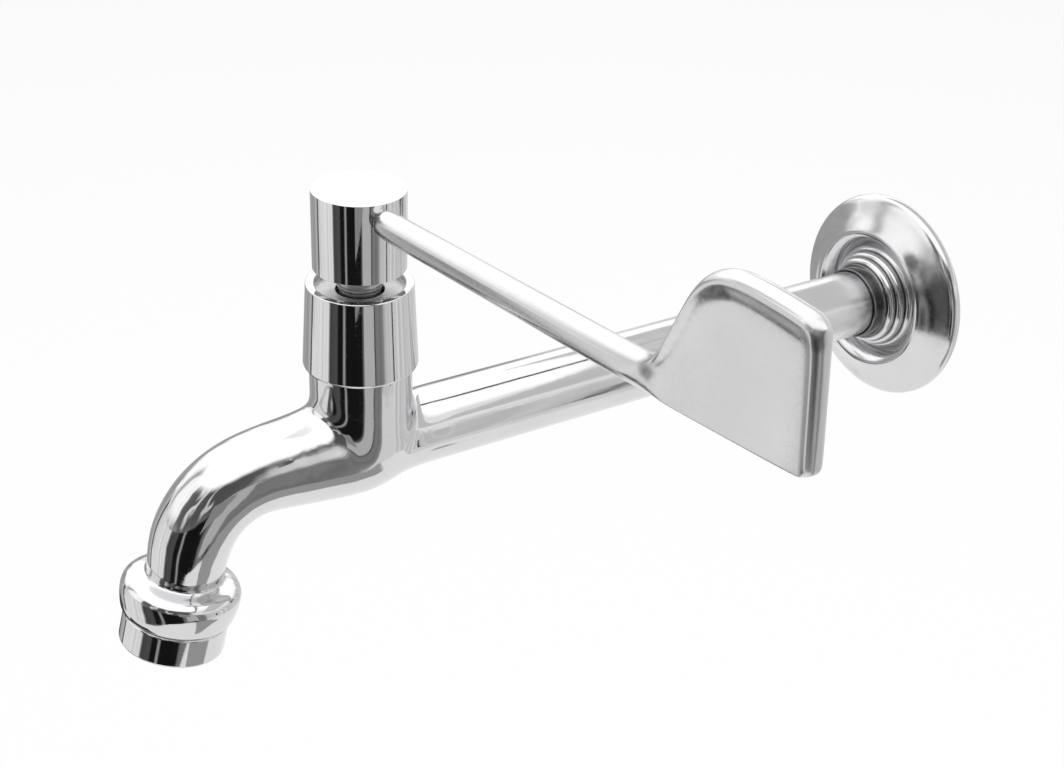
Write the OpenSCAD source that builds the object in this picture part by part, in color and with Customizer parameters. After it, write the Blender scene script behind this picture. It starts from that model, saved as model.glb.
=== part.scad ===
// Elbow lever tap: a wall-mounted tap with a long arm, a bent spout and a quarter-turn lever.
// Millimetres. The arm's axis meets the wall face at the origin, the tap reaches towards -Y, +Z is up.
// The lever points to +X, where the ceramic discs stand open.

/* [Arm and inlet] */
// Distance from the wall face to the barrel's axis
arm_reach = 201.5; // [150:0.5:260]
// Outside diameter of the arm
arm_d = 22; // [21.4:0.1:25]
// Bore of the arm
arm_bore = 15; // [10:0.5:16]
// Outside diameter of the inlet's half-inch pipe thread
inlet_thread_d = 20.955; // [18:0.005:21.2]
// Length of the inlet thread behind the wall face
inlet_l = 14; // [10:0.5:25]
// Lead-in chamfer at the end of a thread
thread_lead = 1; // [0.4:0.1:1.5]

/* [Wall flange] */
// Outside diameter of the flange
flange_d = 70; // [62:0.5:90]
// Thickness of the flange's sheet
flange_sheet = 1.8; // [1.2:0.1:2.2]
// Diameter of the crest ring, at the middle of the sheet
crest_d = 45.4; // [42:0.2:52]
// Height of the crest ring above the wall
crest_h = 8.2; // [6:0.1:11]
// Diameter of the valley inside the crest
valley_d = 35.2; // [34:0.2:40]
// Height of the valley above the wall
valley_h = 4; // [3:0.1:5.5]
// Number of round beads on the flange's collar
collar_beads = 3; // [2:1:4]
// Radius of one bead
bead_r = 1.5; // [1.2:0.1:1.8]
// Height of the collar's tip above the wall
collar_tip = 16.3; // [13:0.1:22]
// Wall of the collar at its tip
collar_wall = 0.8; // [0.6:0.1:1.2]
// Play between the collar and the arm, all round
flange_fit = 0.15; // [0.05:0.05:0.3]
// Section of the rubber grip ring inside the collar
grip_section = 1.6; // [1.2:0.1:2]
// Height of the grip ring above the wall
grip_h = 6.2; // [5:0.1:8]

/* [Barrel] */
// Outside diameter of the barrel below the bonnet
barrel_d = 28.1; // [27:0.1:28.3]
// Height of the bonnet's shoulder above the arm's axis
barrel_top = 25.4; // [23:0.1:32]
// Outside diameter of the threaded spigot inside the bonnet
spigot_d = 25.2; // [24.4:0.1:25.6]
// Height of the spigot above the shoulder
spigot_h = 7.3; // [5:0.1:9]
// Diameter of the round belly under the barrel
belly_d = 28.4; // [28.2:0.1:31]
// Radius of the cast fillet between the barrel and the spout
front_fillet = 5; // [4:0.5:10]
// Radius of the cast fillet between the barrel and the arm
back_fillet = 3; // [2:0.5:9]
// Distance from the barrel's axis to the end of the arm's swollen root
arm_root_l = 15; // [14:1:40]
// Height of the valve seat above the arm's axis
seat_z = 3; // [2:0.1:4]
// Bore of the valve seat
seat_bore = 11; // [8:0.5:11.5]

/* [Spout] */
// Diameter of the spout where it leaves the barrel's axis
spout_root_d = 25.6; // [24:0.2:27]
// Diameter of the spout through its bend
spout_bend_d = 22.6; // [20:0.2:24]
// Diameter of the spout at its outlet collar
spout_end_d = 20; // [18:0.2:22]
// Straight run from the barrel's axis to the bend
spout_run = 30; // [26:0.5:60]
// Radius of the bend's centreline
spout_bend_r = 22.7; // [18:0.1:40]
// Straight length from the bend to the middle of the outlet collar
spout_end_l = 15.6; // [12:0.1:40]
// Forward tilt of the outlet, in degrees
outlet_tilt = 14; // [0:1:25]
// Bore of the spout
spout_bore = 14; // [8:0.5:15]

/* [Outlet and aerator] */
// Outside diameter of the cast outlet collar
collar_d = 33; // [31:0.2:38]
// Height of the collar's straight band
collar_band = 5.6; // [3:0.1:10]
// Radius of the collar's rounded shoulders
collar_round = 3; // [1.5:0.1:3.5]
// Outside diameter of the aerator's casing
casing_d = 28.8; // [27:0.1:31]
// Height of the casing below the collar
casing_h = 9; // [6:0.1:14]
// Outside diameter of the casing's thread
casing_thread_d = 24; // [23.4:0.1:25]
// Length of the casing's thread inside the collar
casing_thread_l = 7.5; // [6:0.1:8]
// Bore of the casing
casing_bore = 21; // [20:0.1:21.4]
// Width of the lip that holds the insert in the casing
casing_lip = 0.8; // [0.5:0.1:1.2]
// Thickness of the aerator's sealing washer
aerator_washer_t = 1.5; // [1:0.1:2]
// Wall of the plastic insert
insert_wall = 1.1; // [0.8:0.1:1.5]
// Thickness of the insert's honeycomb outlet
honeycomb_t = 3; // [2:0.1:4]
// Width across one cell of the honeycomb
cell_w = 2.2; // [1.6:0.1:3]
// Rib between two cells of the honeycomb
cell_rib = 0.45; // [0.3:0.05:0.8]
// Thickness of the wire screen
screen_t = 0.7; // [0.4:0.1:1]
// Thickness of the jet plate
jet_plate_t = 2.2; // [1.5:0.1:3]
// Diameter of one jet
jet_d = 1.2; // [0.8:0.1:1.8]
// Number of jets
jets = 12; // [8:1:16]
// Thickness of the strainer
strainer_t = 1; // [0.6:0.1:1.2]

/* [Headwork] */
// Outside diameter of the headwork's half-inch pipe thread
headwork_thread_d = 20.955; // [20:0.005:21.2]
// Play between a thread and its hole, all round
thread_gap = 0.05; // [0.02:0.01:0.1]
// Running play between a turning piece and its hole
run_gap = 0.05; // [0.02:0.01:0.08]
// Thickness of the gasket under the hexagon
gasket_t = 0.8; // [0.5:0.1:1.5]
// Diameter of the washer face under the hexagon
washer_face_d = 24.2; // [23:0.1:24.6]
// Thickness of the washer face
washer_face_t = 1.6; // [1:0.1:2.5]
// Width of the hexagon across its flats
hex_af = 20; // [17:0.5:21]
// Height of the hexagon
hex_h = 6; // [4:0.5:8]
// Diameter of the gland's rounded head, above the bonnet
gland_d = 12.4; // [11.6:0.1:14]
// Height of the gland's head
gland_head_h = 3.6; // [2:0.1:4]
// Rise of the gland's top above the bonnet's rim
gland_rise = 1.7; // [1:0.1:4]
// Diameter of the turning shaft
shaft_d = 9; // [8.4:0.1:9.4]
// Section of the shaft's sealing rings
o_ring_section = 1.2; // [0.9:0.1:1.4]
// Diameter of the ceramic discs
disc_d = 15.4; // [14:0.1:15.6]
// Thickness of one ceramic disc
disc_t = 3; // [2.4:0.1:3.4]
// Film between the two lapped discs
disc_film = 0.05; // [0.02:0.01:0.08]
// Opening angle of one port in the discs, in degrees
port_angle = 76; // [50:1:84]
// Wall of the headwork's skirt round the discs
skirt_wall = 1.4; // [0.8:0.1:1.6]
// Thickness of the rubber seat seal
seal_t = 2.5; // [2:0.1:3]
// Wall of the ring that backs the seat seal
seal_ring_wall = 0.6; // [0.4:0.1:1]
// Thickness of the shaft's driving bar
driver_t = 2.5; // [2:0.1:3.5]
// Width of the shaft's driving bar
driver_w = 7; // [6:0.1:9]
// Width of the driving tang
tang_w = 2.4; // [1.6:0.1:3]
// Depth of the driving tang in the moving disc
tang_h = 1.2; // [0.8:0.1:1.6]
// Thickness of the slip washer
slip_t = 1; // [0.6:0.1:1.5]
// Thickness of the circlip
circlip_t = 1; // [0.8:0.1:1.2]
// Outside diameter of the circlip
circlip_d = 11; // [10:0.1:12]
// Diameter over the splines
spline_d = 8; // [7.2:0.1:8.4]
// Number of splines
splines = 20; // [12:2:24]
// Depth of a spline
spline_depth = 0.45; // [0.3:0.05:0.6]

/* [Bonnet] */
// Height of the bonnet above the barrel's shoulder
bonnet_h = 24.3; // [22:0.1:34]
// Diameter of the bonnet's foot
bonnet_foot_d = 30.2; // [28.6:0.1:30.6]
// Widest diameter of the bonnet
bonnet_d = 31.4; // [30.8:0.1:35]
// Height of the chamfer under the bonnet's widest ring
bonnet_chamfer_h = 0.7; // [0.3:0.1:5]
// Diameter of the bonnet's top
bonnet_top_d = 28.9; // [28.6:0.1:33]
// Rounding of the bonnet's top edge
bonnet_round = 0.5; // [0.2:0.1:0.8]
// Diameter of the recess in the bonnet's top
recess_d = 24.2; // [22:0.1:25]
// Depth of the recess
recess_h = 2; // [1:0.1:4]
// Thickness of the web under the recess
web_t = 2; // [1.5:0.1:4]
// Play between the bonnet's web and the gland
gland_gap = 0.3; // [0.2:0.05:0.5]

/* [Hub] */
// Diameter of the hub
hub_d = 25; // [22:0.1:30]
// Height of the hub
hub_h = 21.9; // [20:0.1:30]
// Gap between the gland's top and the hub
hub_gap = 2.9; // [1.5:0.1:5]
// Chamfer on the hub's edges
hub_chamfer = 0.5; // [0.2:0.1:1]
// Depth of the splined hole in the hub
socket_h = 10.6; // [8:0.1:11]
// Diameter of the set screw
screw_d = 5; // [3:0.5:6]
// Height of the set screw above the hub's underside
screw_z = 5.5; // [4:0.1:7]
// Width of the set screw's hexagon socket
screw_af = 2.5; // [1.5:0.1:3]

/* [Lever] */
// Depth of the lever's axis below the hub's top
rod_drop = 5.9; // [5:0.1:7]
// Upward slope of the lever, in degrees
rod_slope = 5.8; // [0:0.1:12]
// Diameter of the lever's rod
rod_d = 7.5; // [6:0.1:9]
// Diameter of the stud that screws into the hub
stud_d = 5.6; // [4:0.1:5.8]
// Length of the rod's rounded end
rod_end_l = 2.4; // [1:0.1:4]
// Distance along the rod from the hub's axis to where it starts to flatten
flat_start = 100; // [50:1:108]
// Distance along the rod to where its flats are as narrow as the paddle's rim
flat_end = 121.4; // [110:0.2:124]
// Distance along the rod to the paddle's root corner
paddle_root = 129.2; // [125:0.2:160]
// Distance along the rod to the paddle's crest corner
paddle_crest = 145.6; // [142:0.2:180]
// Distance along the rod to the paddle's end
paddle_end = 171; // [166:0.5:230]
// Height of the crest corner above the rod's axis
crest_rise = 28.4; // [24:0.2:45]
// Height of the end corner above the rod's axis
end_rise = 26; // [22:0.2:45]
// Radius of the rim's centreline round the root
root_r = 15; // [10:0.5:16]
// Radius of the rim's centreline round the crest
crest_r = 12; // [6:0.5:14]
// Radius of the rim's centreline round the end corner
end_r = 2.5; // [2.5:0.1:5]
// Diameter of the paddle's rounded rim
rim_d = 4.5; // [3.6:0.1:4.7]
// Thickness of the paddle's web
web_plate_t = 2.8; // [2:0.1:3.4]

/* [Hidden] */
$fn = 64;

// Cuts reach this far past the face that they open
cut = 1;
// Bars of one casting lap this far into the bends that they meet
lap = 0.4;
// Bends are this much wider all round than the bars that end in them
swell = 0.1;
// Gap that keeps two pieces from touching end to end
end_gap = 0.3;

// Heights on the barrel's axis, from the valve seat up
spigot_top = barrel_top + spigot_h;
fixed_z = seat_z + seal_t;
moving_z = fixed_z + disc_t + disc_film;
driver_z = moving_z + disc_t;
slip_z = driver_z + driver_t;
shaft_seat_z = slip_z + slip_t + run_gap;
washer_face_z = spigot_top + gasket_t;
hex_z = washer_face_z + washer_face_t;
neck_z = hex_z + hex_h;
bonnet_top = barrel_top + bonnet_h;
gland_top = bonnet_top + gland_rise;
hub_z = gland_top + hub_gap;
hub_top = hub_z + hub_h;
rod_z = hub_top - rod_drop;

// Radii that fits share
socket_r = headwork_thread_d / 2 + thread_gap;
shaft_hole_r = shaft_d / 2 + run_gap;
skirt_r = disc_d / 2 + run_gap + skirt_wall;
hex_r = hex_af / 2 / cos(30);
gland_neck_step = 0.4;
gland_neck_r = gland_d / 2 - gland_neck_step;
groove_r = shaft_hole_r - run_gap - o_ring_section;
circlip_groove_depth = 0.6;
circlip_groove_r = shaft_d / 2 - circlip_groove_depth;
bonnet_cavity_r = max(spigot_d, washer_face_d) / 2 + thread_gap;
flange_bore_r = arm_d / 2 + flange_fit;
rim_r = rim_d / 2;

// Middle of the outlet collar, past the bend and the spout's straight end
outlet_y = -arm_reach - spout_run - spout_bend_r * cos(outlet_tilt) - spout_end_l * sin(outlet_tilt);
outlet_z = -spout_bend_r * (1 - sin(outlet_tilt)) - spout_end_l * cos(outlet_tilt);
// Heights along the outlet's axis, from the middle of the collar
collar_foot = -collar_band / 2 - collar_round;
casing_foot = collar_foot - casing_h;
casing_head = collar_foot + casing_thread_l;
collar_roof = casing_head + aerator_washer_t;
insert_z = casing_foot + casing_lip;
insert_r = casing_bore / 2 - thread_gap;
honeycomb_top = insert_z + honeycomb_t;
jet_plate_z = casing_head - strainer_t - jet_plate_t;
jet_plate_r = insert_r - insert_wall / 2;
insert_bore_r = insert_r - insert_wall;

// Moves its children to the barrel's axis, at a height above the arm's axis
module on_barrel(z = 0) {
    translate([0, -arm_reach, z]) children();
}

// Moves its children to the outlet's tilted axis, with the middle of the collar at its origin
module on_outlet(z = 0) {
    translate([0, outlet_y, outlet_z]) rotate([-outlet_tilt, 0, 0]) translate([0, 0, z]) children();
}

// Moves its children to the lever's frame: +X along the rod from the hub's axis, +Z above the rod
module on_lever() {
    on_barrel(rod_z) rotate([0, -rod_slope, 0]) children();
}

// A flat ring that stands on z = 0
module ring(r_out, r_in, h) {
    difference() {
        cylinder(h = h, r = r_out);
        translate([0, 0, -cut]) cylinder(h = h + 2 * cut, r = r_in);
    }
}

// A ring of round section about the Z axis
module round_ring(r_mid, section) {
    rotate_extrude() translate([r_mid, 0]) circle(d = section);
}

// A round bar in the plane x = 0 between two points [y, z]
module bar_yz(a, b, d) {
    step = b - a;
    translate([0, a.x, a.y]) rotate([atan2(-step.x, step.y), 0, 0]) cylinder(h = norm(step), d = d);
}

// A bent round bar in the plane x = 0 about the point [y, z], from one angle over a turn.
// Angle 0 is straight up and 90 is towards -Y
module bend_yz(middle, r_bend, d, from, turn) {
    translate([0, middle.x, middle.y]) rotate([180, -90, 0]) rotate([0, 0, from])
        rotate_extrude(angle = turn) translate([r_bend, 0]) circle(d = d);
}

// A strip of sheet in profile between two points, with round ends
module strip(a, b, t) {
    step = b - a;
    translate(a) rotate(atan2(step.y, step.x)) translate([0, -t / 2]) square([norm(step), t]);
    for (p = [a, b]) translate(p) circle(d = t);
}

// The ports of a ceramic disc: two sectors of a ring, to the front and to the back
module disc_ports(r_in, r_out) {
    reach = 2 * r_out;
    intersection() {
        difference() {
            circle(r = r_out);
            circle(r = r_in);
        }
        for (side = [90, 270])
            rotate(side) polygon([[0, 0],
                reach * [cos(port_angle / 2), -sin(port_angle / 2)],
                reach * [cos(port_angle / 2), sin(port_angle / 2)]]);
    }
}

// The outline of a splined shaft, grown by some play
module spline_outline(play = 0) {
    polygon([for (i = [0 : 2 * splines - 1])
        (spline_d / 2 + play - (i % 2) * spline_depth) * [cos(180 * i / splines), sin(180 * i / splines)]]);
}

// The waterways of the body: inlet along the arm, up through the seat, out along the spout
module waterways() {
    // Chamber under the seat, as wide as the seat's bore and its undercut, and the metal left above it
    seat_undercut = 1;
    seat_land = 0.5;
    chamber_d = seat_bore + 2 * seat_undercut;
    chamber_z = seat_z - chamber_d / 2 - seat_land;
    // Metal left between the headwork's socket and the bores of the arm and the spout
    arm_wall = 6;
    spout_wall = 4;
    arm_end = socket_r + arm_wall;
    spout_start = socket_r + spout_wall;
    // Narrower ports through that metal, which overlap what they join
    feed_d = chamber_d - 3;
    port_d = 9;
    port_rise = 6;
    port_overlap = 2;
    translate([0, inlet_l + thread_lead + cut, 0]) rotate([90, 0, 0])
        cylinder(h = inlet_l + thread_lead + cut + arm_reach - arm_end, d = arm_bore);
    bar_yz([-arm_reach + arm_end + port_overlap, -arm_bore / 2 + feed_d / 2],
        [-arm_reach, chamber_z], feed_d);
    on_barrel(chamber_z) sphere(d = chamber_d);
    on_barrel(chamber_z) cylinder(h = seat_z - chamber_z + cut, d = seat_bore);
    on_barrel(seat_z) cylinder(h = spigot_top - seat_z + cut, r = socket_r);
    bar_yz([-arm_reach - socket_r + port_overlap, seat_z + port_rise],
        [-arm_reach - spout_start - 2 * port_overlap, 0], port_d);
    translate([0, -arm_reach - spout_start, 0]) rotate([90, 0, 0])
        cylinder(h = spout_run - spout_start + lap, d = spout_bore - 2 * swell);
    bend_yz([-arm_reach - spout_run, -spout_bend_r], spout_bend_r, spout_bore, 0, 90 - outlet_tilt);
    on_outlet(collar_foot) cylinder(h = spout_end_l - collar_foot + lap, d = spout_bore - 2 * swell);
    on_outlet(collar_foot - cut)
        cylinder(h = collar_roof - collar_foot + cut, d = casing_thread_d + 2 * thread_gap);
}

// The cast collar at the spout's end, a band with rounded shoulders
module outlet_collar() {
    r = collar_d / 2;
    rotate_extrude() {
        translate([0, -collar_band / 2]) square([r, collar_band]);
        translate([0, collar_foot]) square([r - collar_round, -2 * collar_foot]);
        for (side = [-1, 1]) translate([r - collar_round, side * collar_band / 2]) circle(r = collar_round);
    }
}

// The one-piece casting: threaded inlet, arm, barrel with its belly, S-shaped spout and outlet collar
module tap_body() {
    barrel_r = barrel_d / 2;
    // The fillet bends leave the barrel's front and back and end inside the spout and the arm's root
    front_d = spout_bend_d;
    back_d = arm_d - 2 * swell;
    color("gainsboro") difference() {
        union() {
            rotate([90, 0, 0]) cylinder(h = arm_reach, d = arm_d);
            rotate([-90, 0, 0]) cylinder(h = inlet_l, d = inlet_thread_d);
            translate([0, inlet_l, 0]) rotate([-90, 0, 0])
                cylinder(h = thread_lead, d1 = inlet_thread_d, d2 = inlet_thread_d - 2 * thread_lead);
            on_barrel() cylinder(h = barrel_top, d = barrel_d);
            on_barrel() sphere(d = belly_d);
            on_barrel(barrel_top - cut) cylinder(h = spigot_h + cut, d = spigot_d);
            on_barrel() rotate([-90, 0, 0]) cylinder(h = arm_root_l, d1 = belly_d, d2 = arm_d);
            bend_yz([-arm_reach - barrel_r - front_fillet, front_d / 2 + front_fillet],
                front_fillet + front_d / 2, front_d, 180, 90);
            bend_yz([-arm_reach + barrel_r + back_fillet, back_d / 2 + back_fillet],
                back_fillet + back_d / 2, back_d, 90, 90);
            on_barrel() rotate([90, 0, 0])
                cylinder(h = spout_run + lap, d1 = spout_root_d, d2 = spout_bend_d - 2 * swell);
            bend_yz([-arm_reach - spout_run, -spout_bend_r],
                spout_bend_r, spout_bend_d, 0, 90 - outlet_tilt);
            on_outlet() cylinder(h = spout_end_l + lap, d1 = spout_end_d, d2 = spout_bend_d - 2 * swell);
            on_outlet() outlet_collar();
        }
        waterways();
    }
}

// The pressed flange in profile: rolled rim, cone, crest, dished valley and a beaded collar
module flange_profile() {
    rim_section = 2 * flange_sheet;
    rim = [flange_d / 2 - flange_sheet, flange_sheet];
    crest = [crest_d / 2, crest_h];
    valley = [valley_d / 2, valley_h];
    // The first bead stands above the valley, the last outside the collar, and neighbours overlap
    bead_lift = 0.8;
    bead_stand = 0.9;
    bead_overlap = 0.35;
    first_bead = [valley_d / 2 - bead_r, valley_h + bead_lift];
    last_bead = [flange_bore_r + collar_wall + bead_stand,
        first_bead.y + (collar_beads - 1) * (2 * bead_r - bead_overlap)];
    translate(rim) circle(d = rim_section);
    translate([rim.x - flange_sheet / 2, 0]) square([flange_sheet, rim.y]);
    strip(rim, crest, flange_sheet);
    strip(crest, valley, flange_sheet);
    for (i = [0 : collar_beads - 1])
        translate(first_bead + (last_bead - first_bead) * i / (collar_beads - 1)) circle(r = bead_r);
    polygon([[flange_bore_r, first_bead.y - bead_r], [first_bead.x, first_bead.y - bead_r], first_bead,
        last_bead, [flange_bore_r + collar_wall, collar_tip], [flange_bore_r, collar_tip]]);
}

// The wall flange, which slides along the arm and covers the hole in the wall
module wall_flange() {
    color("gainsboro") rotate([90, 0, 0]) difference() {
        rotate_extrude() difference() {
            flange_profile();
            translate([0, -cut]) square([flange_bore_r, collar_tip + 2 * cut]);
        }
        translate([0, 0, grip_h]) round_ring(arm_d / 2 + grip_section / 2, grip_section);
    }
}

// The rubber ring that grips the arm inside the flange's collar
module flange_grip_ring() {
    color("dimgray") rotate([90, 0, 0]) translate([0, 0, grip_h])
        round_ring(arm_d / 2 + grip_section / 2, grip_section - 2 * thread_gap);
}

// The tapered bonnet that screws on the spigot and hides the headwork
module bonnet() {
    top_r = bonnet_top_d / 2;
    web_top = bonnet_h - recess_h;
    color("gainsboro") on_barrel(barrel_top) difference() {
        rotate_extrude() polygon([[0, 0], [bonnet_foot_d / 2, 0], [bonnet_d / 2, bonnet_chamfer_h],
            [top_r, bonnet_h - bonnet_round], [top_r - bonnet_round, bonnet_h], [0, bonnet_h]]);
        translate([0, 0, -cut]) cylinder(h = web_top - web_t + cut, r = bonnet_cavity_r);
        translate([0, 0, web_top]) cylinder(h = recess_h + cut, d = recess_d);
        translate([0, 0, -cut]) cylinder(h = bonnet_h + 2 * cut, d = gland_d + 2 * gland_gap);
    }
}

// The brass headwork: skirt with side windows, pipe thread, hexagon and the gland's round head
module headwork_body() {
    // The skirt ends above the seat, and the thread starts above the discs' chamber
    skirt_lift = 1;
    roof_t = 1.5;
    skirt_z = seat_z + skirt_lift;
    thread_z = shaft_seat_z + roof_t;
    head_r = gland_head_h / 2;
    window_w = 9;
    color("darkkhaki") on_barrel() difference() {
        union() {
            translate([0, 0, skirt_z]) cylinder(h = thread_z - skirt_z, r = skirt_r);
            translate([0, 0, thread_z]) cylinder(h = washer_face_z - thread_z, d = headwork_thread_d);
            translate([0, 0, washer_face_z]) cylinder(h = washer_face_t, d = washer_face_d);
            translate([0, 0, hex_z]) cylinder(h = hex_h, r = hex_r, $fn = 6);
            translate([0, 0, neck_z]) cylinder(h = gland_top - head_r - neck_z, r = gland_neck_r);
            translate([0, 0, gland_top - head_r]) rotate_extrude() {
                translate([gland_d / 2 - head_r, 0]) circle(r = head_r);
                translate([0, -head_r]) square([gland_d / 2 - head_r, gland_head_h]);
            }
        }
        translate([0, 0, skirt_z - cut])
            cylinder(h = shaft_seat_z - skirt_z + cut, r = disc_d / 2 + run_gap);
        cylinder(h = gland_top + cut, r = shaft_hole_r);
        translate([-skirt_r - cut, -window_w / 2, moving_z + tang_h])
            cube([2 * (skirt_r + cut), window_w, driver_t + disc_t - 2 * tang_h]);
    }
}

// The flat gasket between the spigot and the headwork's washer face
module headwork_gasket() {
    color("dimgray") on_barrel(spigot_top) ring(washer_face_d / 2, socket_r, gasket_t);
}

// The rubber seal that stands on the valve seat
module seat_seal() {
    color("dimgray") on_barrel(seat_z) ring(disc_d / 2, seat_bore / 2, seal_t);
}

// The ring that keeps the seat seal from folding inwards
module seat_seal_ring() {
    color("silver") on_barrel(seat_z) ring(seat_bore / 2, seat_bore / 2 - seal_ring_wall, seal_t);
}

// The lower ceramic disc, held by the headwork's skirt
module fixed_disc() {
    color("ivory") on_barrel(fixed_z) linear_extrude(disc_t) difference() {
        circle(d = disc_d);
        disc_ports(seat_bore / 6, seat_bore / 2 - seal_ring_wall);
    }
}

// The upper ceramic disc, slotted for the shaft's tang
module moving_disc() {
    color("ivory") on_barrel(moving_z) difference() {
        linear_extrude(disc_t) difference() {
            circle(d = disc_d);
            disc_ports(seat_bore / 6, seat_bore / 2 - seal_ring_wall);
        }
        translate([-disc_d, -tang_w / 2 - run_gap, disc_t - tang_h])
            cube([2 * disc_d, tang_w + 2 * run_gap, tang_h + cut]);
    }
}

// Heights of the two sealing rings on the shaft
o_ring_lift = 4;
o_ring_pitch = 5;
function o_ring_z() = [shaft_seat_z + o_ring_lift, shaft_seat_z + o_ring_lift + o_ring_pitch];

// The brass spindle: tang, driving bar, shaft with its grooves, and splines for the hub
module spindle() {
    groove_h = o_ring_section + end_gap;
    spline_z = gland_top + circlip_t + 2 * end_gap;
    // The tang stops this far inside the edge of the disc
    tang_inset = 1;
    color("darkkhaki") on_barrel() difference() {
        union() {
            translate([0, 0, driver_z]) intersection() {
                cylinder(h = driver_t, d = disc_d - 2 * run_gap);
                translate([-disc_d / 2, -driver_w / 2, 0]) cube([disc_d, driver_w, driver_t]);
            }
            translate([-disc_d / 2 + tang_inset, -tang_w / 2, driver_z - tang_h + run_gap])
                cube([disc_d - 2 * tang_inset, tang_w, tang_h + cut]);
            translate([0, 0, driver_z]) cylinder(h = spline_z - driver_z, d = shaft_d);
            translate([0, 0, spline_z - cut])
                linear_extrude(hub_z + socket_h - end_gap - spline_z + cut) spline_outline();
        }
        for (z = o_ring_z()) translate([0, 0, z - groove_h / 2]) ring(shaft_d, groove_r, groove_h);
        translate([0, 0, gland_top + run_gap]) ring(shaft_d, circlip_groove_r, circlip_t);
    }
}

// The two rubber rings that seal the shaft in the headwork
module spindle_o_rings() {
    color("dimgray") for (z = o_ring_z()) on_barrel(z)
        round_ring(groove_r + o_ring_section / 2, o_ring_section);
}

// The slippery washer that the driving bar turns against
module slip_washer() {
    color("white") on_barrel(slip_z) ring(disc_d / 2 - run_gap, shaft_d / 2 + run_gap, slip_t);
}

// The spring clip that hangs the spindle in the headwork, open on one side
module circlip() {
    // Width of the clip's mouth against the radius of its groove
    mouth_share = 1.4;
    mouth = circlip_groove_r * mouth_share;
    color("silver") on_barrel(gland_top + run_gap) difference() {
        ring(circlip_d / 2, circlip_groove_r, circlip_t);
        translate([-circlip_d, -mouth / 2, -cut]) cube([circlip_d, mouth, circlip_t + 2 * cut]);
    }
}

// Distance from the hub's axis to the inner end of the lever's stud, and the room left beyond that end
stud_start = 2.5;
stud_room = 0.5;

// The lever's round hub, splined on the spindle, with the set screw at its back
module hub() {
    r = hub_d / 2;
    // Room for the circlip in the hub's underside
    clip_room_h = 1;
    clip_room_d = circlip_d + 2;
    color("gainsboro") difference() {
        on_barrel(hub_z) difference() {
            rotate_extrude() polygon([[0, 0], [r - hub_chamfer, 0], [r, hub_chamfer],
                [r, hub_h - hub_chamfer], [r - hub_chamfer, hub_h], [0, hub_h]]);
            translate([0, 0, -cut]) linear_extrude(socket_h + cut) spline_outline(run_gap);
            translate([0, 0, -cut]) cylinder(h = cut + clip_room_h, d = clip_room_d);
            translate([0, 0, screw_z]) rotate([0, -90, 0]) cylinder(h = hub_d, r = screw_d / 2 + thread_gap);
        }
        on_lever() rotate([0, 90, 0]) translate([0, 0, stud_start - stud_room])
            cylinder(h = hub_d, r = stud_d / 2 + thread_gap);
    }
}

// The headless screw that locks the hub on the splines
module hub_set_screw() {
    tip = spline_d / 2 + run_gap;
    // The screw's outer end lies this far below the hub's surface
    screw_depth = 0.6;
    l = hub_d / 2 - screw_depth - tip;
    color("silver") on_barrel(hub_z + screw_z) rotate([0, -90, 0]) translate([0, 0, tip]) difference() {
        cylinder(h = l, d = screw_d);
        translate([0, 0, l - screw_af]) cylinder(h = screw_af + cut, d = screw_af / cos(30), $fn = 6);
    }
}

// The rim's centreline in the lever's frame: [along the rod, above the rod, corner radius].
// It runs from the rod's top up to the crest and down the end, and leaves the lower edge plain.
// The lower edge climbs a little towards the end
end_climb = 0.9;
rim_path = [[paddle_root - root_r, rod_d / 2 - rim_r - lap, 0],
    [paddle_root, rod_d / 2 - rim_r - lap, root_r],
    [paddle_crest, crest_rise, crest_r], [paddle_end, end_rise, end_r],
    [paddle_end, rim_r - rod_d / 2 + end_climb, 0]];
// Middle of the web's rounded lower edge, from the end back to the rod
edge_r = web_plate_t / 2 + swell;
lower_edge = [[paddle_end, edge_r - rod_d / 2 + end_climb], [paddle_root, edge_r - rod_d / 2 - lap]];

// Direction, turn and tangent length of the rim's path at a corner
function flat(p) = [p.x, p.y];
function way(i) = let (step = flat(rim_path[i + 1]) - flat(rim_path[i])) step / norm(step);
function turn(i) = let (a = way(i - 1), b = way(i)) atan2(a.x * b.y - a.y * b.x, a.x * b.x + a.y * b.y);
function inner(i) = i > 0 && i < len(rim_path) - 1;
function tangent(i) = inner(i) ? rim_path[i].z * tan(abs(turn(i)) / 2) : 0;
function arc_start(i) = flat(rim_path[i]) - (inner(i) ? tangent(i) * way(i - 1) : [0, 0]);
function arc_end(i) = flat(rim_path[i]) + (inner(i) ? tangent(i) * way(i) : [0, 0]);
function arc_middle(i) = arc_start(i) + sign(turn(i)) * rim_path[i].z * [-way(i - 1).y, way(i - 1).x];

// Points of the web's outline along the rim's centreline
arc_steps = 10;
function corner_points(i) = tangent(i) == 0 ? [flat(rim_path[i])] : [for (k = [0 : arc_steps])
    let (a = turn(i) * k / arc_steps, v = arc_start(i) - arc_middle(i))
    arc_middle(i) + [v.x * cos(a) - v.y * sin(a), v.x * sin(a) + v.y * cos(a)]];

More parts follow.
